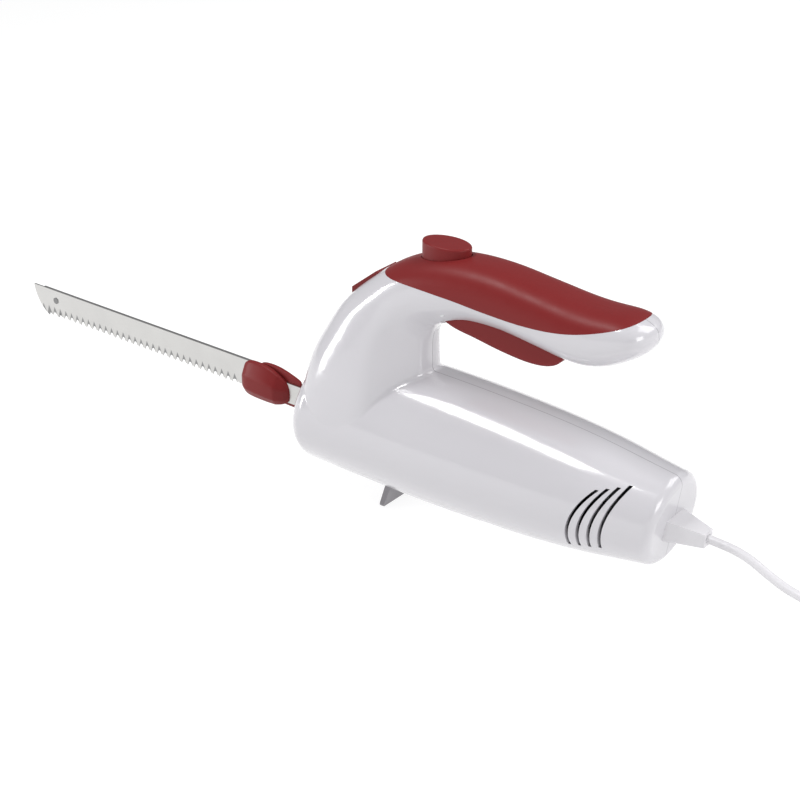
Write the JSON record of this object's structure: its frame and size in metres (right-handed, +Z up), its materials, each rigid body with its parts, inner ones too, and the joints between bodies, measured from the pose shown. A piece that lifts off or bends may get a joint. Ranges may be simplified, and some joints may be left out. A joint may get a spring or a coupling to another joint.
{
  "type": "electric knife",
  "caption": "Electric knife: round motor body on a foot, open D handle with trigger and lock button, serrated reciprocating blade pair, mains cord.",
  "frame": {"origin": "middle of the bounding box of the knife without its cord, on the surface that it rests on", "axes": "+X towards the rear along the blades, +Y to the knife's right-hand side, +Z up in the rest pose"},
  "size_m": [0.6484, 0.1027, 0.1485],
  "materials": {
    "white_gloss": "glossy moulded ABS",
    "white_foot": "moulded ABS",
    "red_satin": "satin dark red moulded plastic",
    "blade_steel": "satin ground stainless steel",
    "zinc_steel": "bright zinc plate",
    "dark_plastic": "moulded",
    "natural_plastic": "natural nylon or acetal",
    "laminations": "varnished steel sheets",
    "copper": "enamelled copper",
    "carbon": "carbon",
    "brass": "turned brass",
    "cord_sheath": "smooth PVC",
    "tie_black": "plastic twist tie"
  },
  "bodies": {
    "housing": {"left_housing_shell": "white_gloss", "right_housing_shell": "white_gloss", "handle_top_cover": "red_satin", "support_foot": "white_foot", "housing_screws": "zinc_steel", "cord_guard": "cord_sheath", "trigger_pin": "zinc_steel", "control_bracket": "dark_plastic", "switch_body": "dark_plastic", "wheel_axle": "zinc_steel", "gearbox_frame": "dark_plastic", "front_bearing": "zinc_steel", "rear_bearing": "zinc_steel", "rear_bearing_bracket": "dark_plastic", "field_stack": "laminations", "field_coils": "copper", "carbon_brushes": "carbon", "brush_holders": "dark_plastic", "interference_capacitor": "dark_plastic", "cord_clamp": "dark_plastic", "clamp_screws": "zinc_steel", "lock_button_spring": "zinc_steel", "trigger_spring": "zinc_steel", "release_spring": "zinc_steel", "power_cord": "cord_sheath", "cord_coil": "cord_sheath", "cord_tie": "tie_black", "cord_tail": "cord_sheath", "plug_body": "cord_sheath", "plug_pins": "brass"},
    "armature": {"motor_shaft": "zinc_steel", "worm": "brass", "armature_core": "laminations", "commutator": "copper", "cooling_fan": "dark_plastic"},
    "wheel": {"worm_wheel": "natural_plastic", "left_eccentric": "natural_plastic", "right_eccentric": "natural_plastic"},
    "left_drive": {"left_drive_slider": "natural_plastic"},
    "right_drive": {"right_drive_slider": "natural_plastic"},
    "left_blade_set": {"left_blade": "blade_steel", "left_blade_collar": "red_satin", "blade_rivet": "zinc_steel"},
    "right_blade_set": {"right_blade": "blade_steel", "right_blade_collar": "red_satin"},
    "trigger_body": {"trigger": "red_satin"},
    "plunger_body": {"switch_plunger": "natural_plastic"},
    "lock_button_body": {"lock_button": "red_satin"},
    "release_button_body": {"release_button": "red_satin"}
  },
  "joints": [
    {"name": "armature_spin", "type": "hinge", "parent": "housing", "child": "armature", "pos_m": [0.10977, 0, 0.03698], "axis": [0.9933, 0, -0.1158], "continuous": true},
    {"name": "wheel_spin", "type": "hinge", "parent": "housing", "child": "wheel", "pos_m": [0.03627, 0, 0.02823], "axis": [0, 1, 0], "continuous": true},
    {"name": "left_drive_slide", "type": "slide", "parent": "housing", "child": "left_drive", "axis": [0.9933, 0, -0.1158], "range_m": [0, 0.008]},
    {"name": "right_drive_slide", "type": "slide", "parent": "housing", "child": "right_drive", "axis": [0.9933, 0, -0.1158], "range_m": [-0.008, 0]},
    {"name": "left_blade_pull", "type": "slide", "parent": "left_drive", "child": "left_blade_set", "axis": [-0.9933, 0, 0.1158], "range_m": [0, 0.05]},
    {"name": "right_blade_pull", "type": "slide", "parent": "right_drive", "child": "right_blade_set", "axis": [-0.9933, 0, 0.1158], "range_m": [0, 0.05]},
    {"name": "trigger_press", "type": "hinge", "parent": "housing", "child": "trigger_body", "pos_m": [0.09573, 0, 0.11513], "axis": [0, -1, 0], "range_deg": [0, 3.5], "stiffness_Nm_per_rad": 0.5, "springref_deg": -6.88, "deforming": ["trigger_spring"]},
    {"name": "switch_plunger_press", "type": "slide", "parent": "housing", "child": "plunger_body", "axis": [0.1158, 0, 0.9933], "range_m": [0, 0.003]},
    {"name": "lock_button_press", "type": "slide", "parent": "housing", "child": "lock_button_body", "axis": [-0.1158, 0, -0.9933], "range_m": [0, 0.003], "stiffness_N_per_m": 400, "springref_m": -0.002, "deforming": ["lock_button_spring"]},
    {"name": "release_button_press", "type": "slide", "parent": "housing", "child": "release_button_body", "axis": [0.6327, 0, -0.7744], "range_m": [0, 0.0025], "stiffness_N_per_m": 400, "springref_m": -0.002, "deforming": ["release_spring"]}
  ],
  "couplings": [
    {"joint": "wheel_spin", "follows": "armature_spin", "ratio": 0.041667},
    {"joint": "right_drive_slide", "follows": "left_drive_slide", "ratio": -1},
    {"joint": "right_blade_pull", "follows": "left_blade_pull", "ratio": 1},
    {"joint": "switch_plunger_press", "follows": "trigger_press", "m_per_rad": 0.049}
  ]
}
